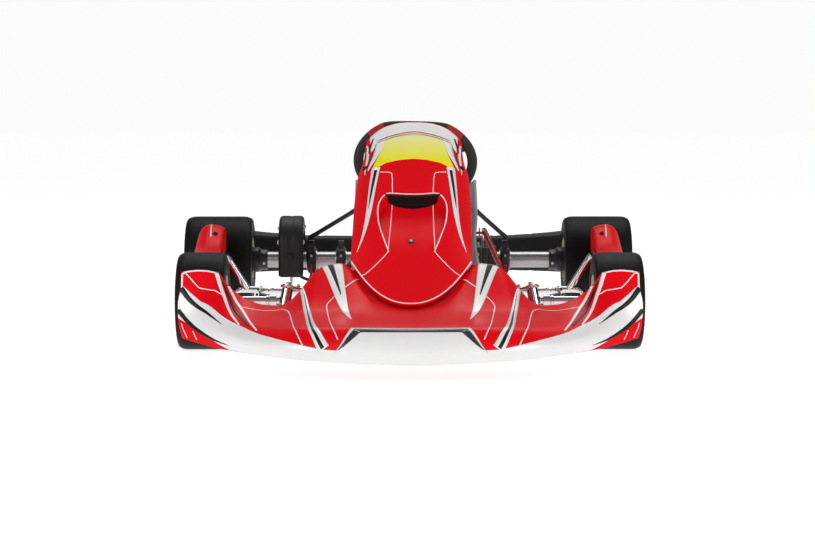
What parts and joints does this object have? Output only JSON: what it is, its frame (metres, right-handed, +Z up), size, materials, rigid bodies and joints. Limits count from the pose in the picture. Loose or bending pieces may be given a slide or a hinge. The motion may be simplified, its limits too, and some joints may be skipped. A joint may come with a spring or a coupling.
{
  "type": "racing go kart rolling chassis",
  "caption": "Racing go kart: red tube frame, wide nose, front panel, side pods, bucket seat, linked steering, solid rear axle with disc brake, slick tyres.",
  "frame": {"origin": "on the floor, at the middle of the overall length and width", "axes": "+Z up; the kart faces -Y, so its left side is +X"},
  "size_m": [1.384, 1.935, 0.5963],
  "materials": {
    "frame_red": "gloss dark red powder coat",
    "tray_aluminium": "mill finish sheet",
    "bare_steel": "machined steel",
    "body_plastic": "red moulded plastic with white and black graphics under a clear film",
    "chromed_tube": "bright chrome plate",
    "black_plastic": "black moulded plastic",
    "seat_fibreglass": "silver-grey fibreglass",
    "black_metal": "black anodised or painted metal",
    "tank_plastic": "milky translucent plastic",
    "magnesium": "bronze-tinted cast magnesium",
    "tyre_rubber": "slick racing rubber",
    "turned_aluminium": "turned and anodised",
    "wheel_grip": "black suede grip with red inserts"
  },
  "bodies": {
    "chassis": {"chassis_frame": "frame_red", "floor_tray": "tray_aluminium", "front_bumper": "bare_steel", "nose_fairing": "body_plastic", "front_panel": "body_plastic", "side_pod_left": "body_plastic", "side_pod_right": "body_plastic", "side_bar_left": "chromed_tube", "side_bar_right": "chromed_tube", "rear_bumper": "black_plastic", "rear_bumper_bar": "chromed_tube", "seat": "seat_fibreglass", "seat_stay_left": "black_metal", "seat_stay_right": "black_metal", "fuel_tank": "tank_plastic", "brake_pedal": "chromed_tube", "accelerator_pedal": "chromed_tube", "brake_master_cylinder": "black_metal", "steering_support": "black_metal", "rear_bearing_left": "black_metal", "rear_bearing_middle": "black_metal", "rear_bearing_right": "black_metal", "chain_guard": "black_plastic", "brake_caliper": "black_metal", "kingpin_left": "bare_steel", "kingpin_right": "bare_steel"},
    "rear_axle_assembly": {"rear_axle": "bare_steel", "rear_hub_left": "black_metal", "rear_hub_right": "black_metal", "rear_rim_left": "magnesium", "rear_rim_right": "magnesium", "rear_tyre_left": "tyre_rubber", "rear_tyre_right": "tyre_rubber", "brake_disc": "bare_steel", "sprocket": "turned_aluminium"},
    "knuckle_left": {"stub_axle_left": "chromed_tube"},
    "knuckle_right": {"stub_axle_right": "chromed_tube"},
    "front_wheel_left": {"front_rim_left": "magnesium", "front_tyre_left": "tyre_rubber"},
    "front_wheel_right": {"front_rim_right": "magnesium", "front_tyre_right": "tyre_rubber"},
    "steering": {"steering_column": "bare_steel", "steering_wheel": "wheel_grip"},
    "tie_rod_left": {"tie_rod_left": "chromed_tube"},
    "tie_rod_right": {"tie_rod_right": "chromed_tube"}
  },
  "joints": [
    {"name": "rear_axle_spin", "type": "hinge", "parent": "chassis", "child": "rear_axle_assembly", "pos_m": [0, 0.6775, 0.135], "axis": [1, 0, 0], "continuous": true},
    {"name": "steering_turn", "type": "hinge", "parent": "chassis", "child": "steering", "pos_m": [0, -0.3975, 0.092], "axis": [0.0305, 0.731, 0.6817], "range_deg": [-40, 40]},
    {"name": "knuckle_left_turn", "type": "hinge", "parent": "chassis", "child": "knuckle_left", "pos_m": [0.33, -0.3675, 0.1285], "axis": [-0.1868, 0.2043, 0.9609], "range_deg": [-24.2, 24.2]},
    {"name": "front_wheel_left_spin", "type": "hinge", "parent": "knuckle_left", "child": "front_wheel_left", "pos_m": [0.56, -0.3675, 0.1285], "axis": [1, 0, 0], "continuous": true},
    {"name": "tie_rod_left_turn", "type": "hinge", "parent": "knuckle_left", "child": "tie_rod_left", "pos_m": [0.4, -0.2925, 0.15], "axis": [-0.4244, 0.2113, 0.8805], "range_deg": [-22.8, 22.8]},
    {"name": "knuckle_right_turn", "type": "hinge", "parent": "chassis", "child": "knuckle_right", "pos_m": [-0.33, -0.3675, 0.1285], "axis": [0.1868, 0.2043, 0.9609], "range_deg": [-24.2, 24.2]},
    {"name": "front_wheel_right_spin", "type": "hinge", "parent": "knuckle_right", "child": "front_wheel_right", "pos_m": [-0.56, -0.3675, 0.1285], "axis": [1, 0, 0], "continuous": true},
    {"name": "tie_rod_right_turn", "type": "hinge", "parent": "knuckle_right", "child": "tie_rod_right", "pos_m": [-0.4, -0.2925, 0.15], "axis": [0.4244, 0.2113, 0.8805], "range_deg": [-22.8, 22.8]}
  ],
  "couplings": [
    {"joint": "knuckle_left_turn", "follows": "steering_turn", "ratio": 0.6},
    {"joint": "tie_rod_left_turn", "follows": "steering_turn", "ratio": -0.565},
    {"joint": "knuckle_right_turn", "follows": "steering_turn", "ratio": 0.6},
    {"joint": "tie_rod_right_turn", "follows": "steering_turn", "ratio": -0.565}
  ]
}
